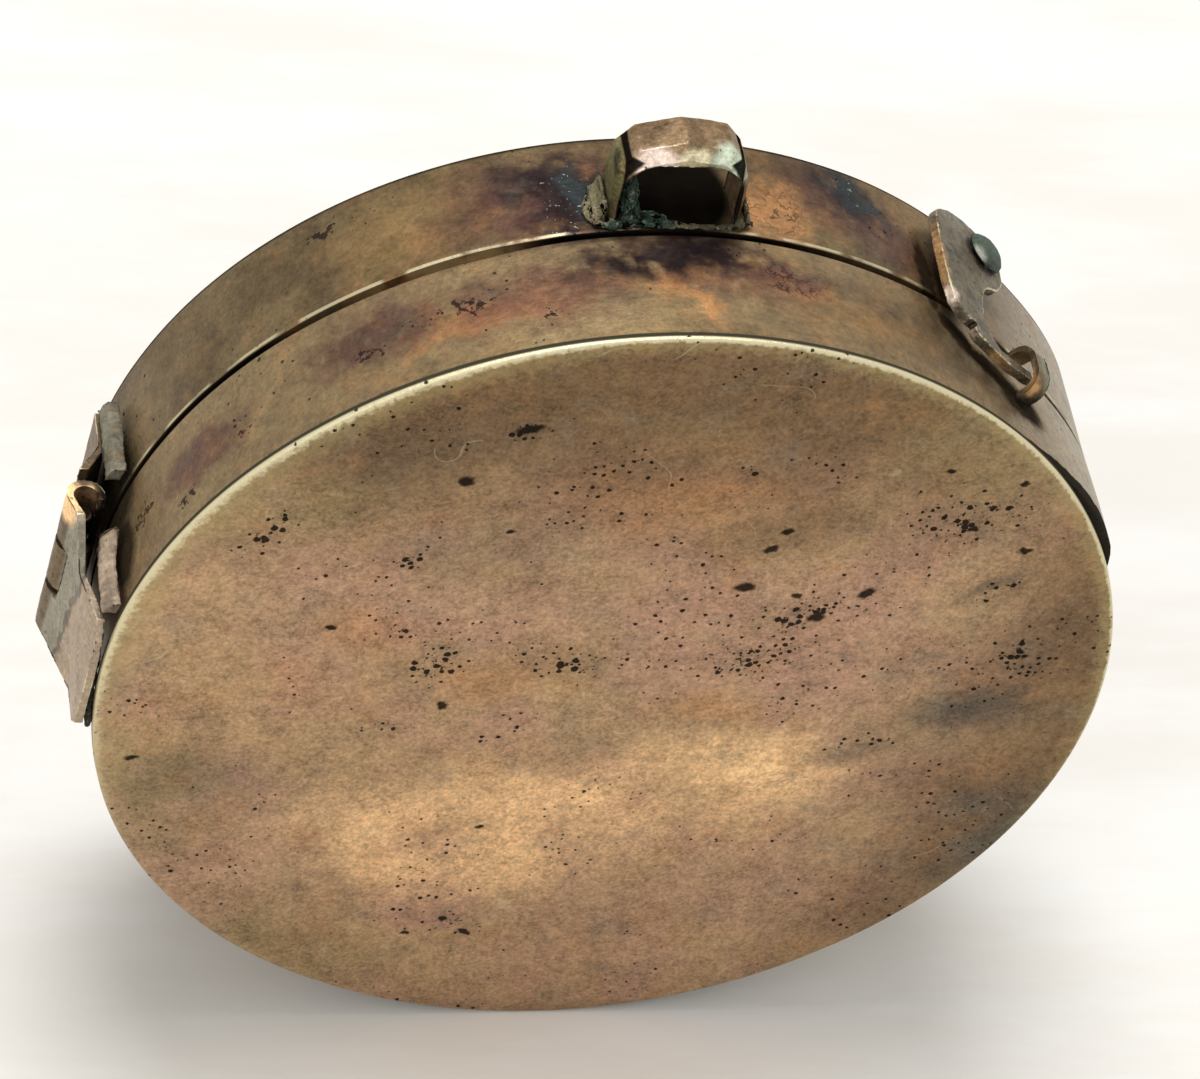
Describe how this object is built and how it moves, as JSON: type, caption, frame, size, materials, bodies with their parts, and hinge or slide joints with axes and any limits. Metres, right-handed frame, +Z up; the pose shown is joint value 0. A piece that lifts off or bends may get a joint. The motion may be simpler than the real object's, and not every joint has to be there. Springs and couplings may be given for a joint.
{
  "type": "hinged pendant reliquary",
  "caption": "Round shallow brass pendant case in two hinged halves with a suspension loop, a hook catch, and a glazed relic inside.",
  "frame": {"origin": "centre of the suspension loop's eye", "axes": "+Z up through the loop from the drum's centre, -Y out of the lid's disc along the drum's axis, +X to the right as the lid is seen"},
  "size_m": [0.0626, 0.0164, 0.0654],
  "materials": {
    "disc_brass": "aged sheet brass, satin, brown patina",
    "band_brass": "aged strip brass, satin, with heat stains",
    "loop_brass": "filed brass, bright on the facets and green in the hollows",
    "fitting_brass": "dark sheet brass with worn bright edges",
    "worn_brass": "cleaner brass inside the case",
    "solder": "soft solder, dull grey and rough",
    "pin_brass": "dark drawn brass",
    "rivet": "hammered brass gone green",
    "board": "thin dark wooden board",
    "wax": "yellow wax",
    "bone": "old bone, matte",
    "glass": "thin clear window glass"
  },
  "bodies": {
    "body": {"body_plate": "disc_brass", "body_band": "band_brass", "body_plate_solder": "solder", "inner_collar": "worn_brass", "relic_board": "board", "relic_bed": "wax", "relic_fragment": "bone", "pane_seat_ring": "worn_brass", "glass_pane": "glass", "pane_spring_ring": "worn_brass", "suspension_loop": "loop_brass", "loop_solder_left": "solder", "loop_solder_right": "solder", "loop_solder_eye": "solder", "hinge_leaf_body": "fitting_brass", "hinge_body_solder": "solder", "hinge_pin": "pin_brass", "hook_rivet": "rivet", "hook_washer": "pin_brass"},
    "lid": {"lid_plate": "disc_brass", "lid_band": "band_brass", "lid_plate_solder": "solder", "hinge_leaf_lid": "fitting_brass", "hinge_lid_solder": "solder", "latch_staple": "fitting_brass"},
    "hook": {"latch_hook": "fitting_brass"}
  },
  "joints": [
    {"name": "lid_swing", "type": "hinge", "parent": "body", "child": "lid", "pos_m": [-0.03095, -0.00215, -0.02936], "axis": [-0.0785, 0, -0.9969], "range_deg": [0, 130]},
    {"name": "hook_swing", "type": "hinge", "parent": "body", "child": "hook", "pos_m": [0.01937, 0.00305, -0.00948], "axis": [-0.6554, 0, -0.7553], "range_deg": [0, 180]}
  ]
}
